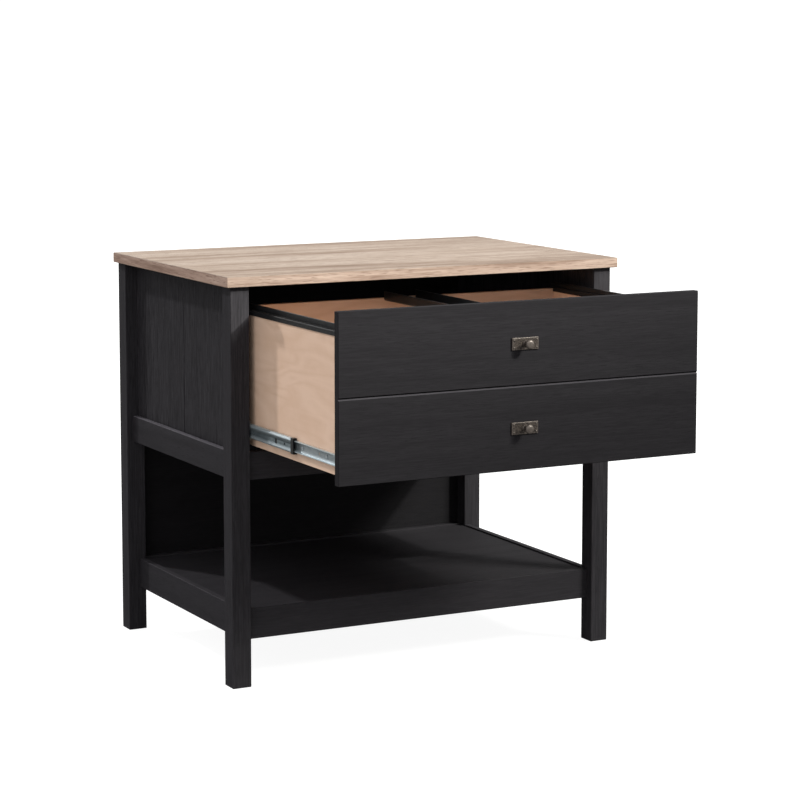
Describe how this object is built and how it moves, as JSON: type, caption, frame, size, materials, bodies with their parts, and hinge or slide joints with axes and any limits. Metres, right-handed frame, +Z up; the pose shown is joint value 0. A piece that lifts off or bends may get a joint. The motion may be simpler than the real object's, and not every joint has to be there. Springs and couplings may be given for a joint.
{
  "type": "lateral filing cabinet",
  "caption": "Lateral filing cabinet on square legs with a deep two-column hanging-file drawer on telescopic slides, an overhanging wooden top and an open shelf below.",
  "frame": {"origin": "on the floor, under the centre of the box round the cabinet with its drawer open as at rest", "axes": "+X to the right of someone facing the drawer, +Y towards the back, +Z up; the drawer opens along -Y"},
  "size_m": [0.83, 0.9326, 0.762],
  "materials": {
    "black_oak": "charcoal black oak-grain laminate, satin",
    "oak_top": "light weathered oak-grain laminate, satin",
    "maple": "pale maple foil, satin",
    "black_plastic": "extruded black plastic, satin",
    "zinc_steel": "bright zinc-plated rolled steel",
    "antique_bronze": "dark antique bronze on a cast pull"
  },
  "bodies": {
    "cabinet": {"top_panel": "oak_top", "leg_front_left": "black_oak", "leg_front_right": "black_oak", "leg_back_left": "black_oak", "leg_back_right": "black_oak", "side_panel_left": "black_oak", "side_panel_right": "black_oak", "side_rail_left": "black_oak", "side_rail_right": "black_oak", "front_rail": "black_oak", "back_panel": "black_oak", "shelf_panel": "black_oak", "shelf_front_rail": "black_oak", "shelf_back_rail": "black_oak", "shelf_side_rail_left": "black_oak", "shelf_side_rail_right": "black_oak", "slide_outer_left": "zinc_steel", "slide_outer_right": "zinc_steel"},
    "drawer": {"drawer_front": "black_oak", "drawer_side_left": "maple", "drawer_side_right": "maple", "drawer_back": "maple", "drawer_bottom": "maple", "file_rail_left": "black_plastic", "file_rail_right": "black_plastic", "file_rail_middle": "black_plastic", "pull_plate_upper": "antique_bronze", "pull_plate_lower": "antique_bronze", "pull_knob_upper": "antique_bronze", "pull_knob_lower": "antique_bronze", "pull_screw_upper": "zinc_steel", "pull_screw_lower": "zinc_steel", "slide_inner_left": "zinc_steel", "slide_inner_right": "zinc_steel"},
    "middle_left": {"slide_middle_left": "zinc_steel", "slide_stop_left": "black_plastic"},
    "middle_right": {"slide_middle_right": "zinc_steel", "slide_stop_right": "black_plastic"},
    "outer_cage_left": {"slide_outer_cage_left": "zinc_steel"},
    "outer_cage_right": {"slide_outer_cage_right": "zinc_steel"},
    "inner_cage_left": {"slide_inner_cage_left": "zinc_steel"},
    "inner_cage_right": {"slide_inner_cage_right": "zinc_steel"}
  },
  "joints": [
    {"name": "drawer_slide", "type": "slide", "parent": "cabinet", "child": "drawer", "axis": [0, -1, 0], "range_m": [-0.36, 0.097]},
    {"name": "middle_left_slide", "type": "slide", "parent": "cabinet", "child": "middle_left", "axis": [0, -1, 0], "range_m": [-0.1945, 0.0525]},
    {"name": "middle_right_slide", "type": "slide", "parent": "cabinet", "child": "middle_right", "axis": [0, -1, 0], "range_m": [-0.1945, 0.0525]},
    {"name": "outer_cage_left_slide", "type": "slide", "parent": "cabinet", "child": "outer_cage_left", "axis": [0, -1, 0], "range_m": [-0.0973, 0.0263]},
    {"name": "outer_cage_right_slide", "type": "slide", "parent": "cabinet", "child": "outer_cage_right", "axis": [0, -1, 0], "range_m": [-0.0973, 0.0263]},
    {"name": "inner_cage_left_slide", "type": "slide", "parent": "cabinet", "child": "inner_cage_left", "axis": [0, -1, 0], "range_m": [-0.2773, 0.0748]},
    {"name": "inner_cage_right_slide", "type": "slide", "parent": "cabinet", "child": "inner_cage_right", "axis": [0, -1, 0], "range_m": [-0.2773, 0.0748]}
  ],
  "couplings": [
    {"joint": "middle_left_slide", "follows": "drawer_slide", "ratio": 0.54},
    {"joint": "middle_right_slide", "follows": "drawer_slide", "ratio": 0.54},
    {"joint": "outer_cage_left_slide", "follows": "drawer_slide", "ratio": 0.27},
    {"joint": "outer_cage_right_slide", "follows": "drawer_slide", "ratio": 0.27},
    {"joint": "inner_cage_left_slide", "follows": "drawer_slide", "ratio": 0.77},
    {"joint": "inner_cage_right_slide", "follows": "drawer_slide", "ratio": 0.77}
  ]
}
